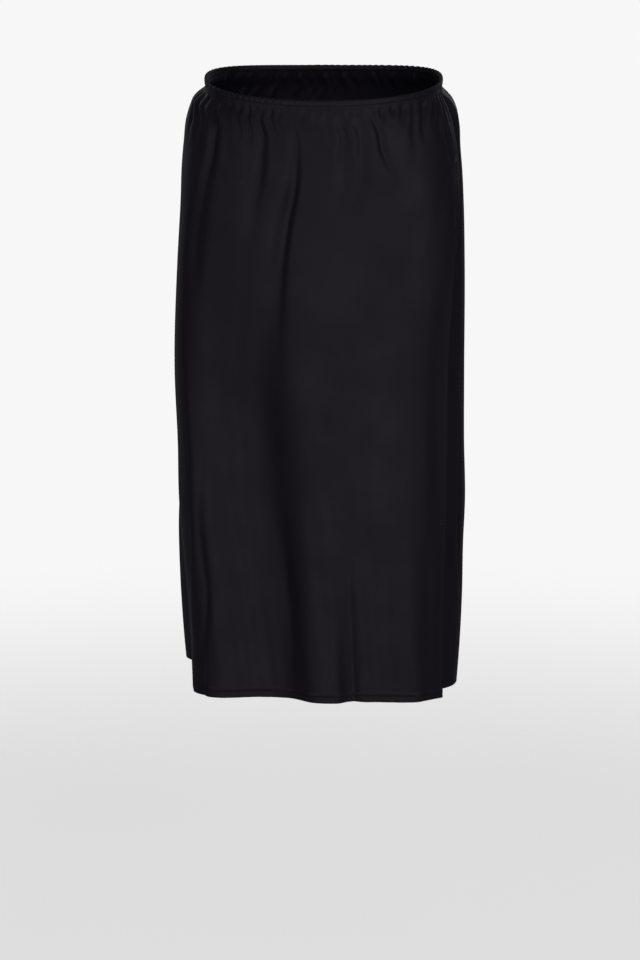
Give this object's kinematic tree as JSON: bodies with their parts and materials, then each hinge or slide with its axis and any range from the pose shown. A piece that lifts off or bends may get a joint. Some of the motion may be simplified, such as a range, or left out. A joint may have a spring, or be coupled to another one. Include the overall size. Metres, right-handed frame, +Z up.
{
  "type": "midi skirt",
  "caption": "Gathered black midi skirt of two loose panels, open at the sides, on a narrow elastic waist casing, held in its worn hollow form",
  "frame": {"origin": "middle of the waist opening, about level with the casing at the sides, where the wearer holds the skirt up", "axes": "+Z up, -Y the front of the skirt, +X to the right of someone facing the front"},
  "size_m": [0.3637, 0.2786, 0.7713],
  "materials": {
    "crepe": "matt-satin black crepe",
    "casing_crepe": "black crepe scrunched over elastic"
  },
  "bodies": {
    "root": {"front_panel": "crepe", "back_panel": "crepe", "waist_casing": "casing_crepe"}
  },
  "joints": []
}
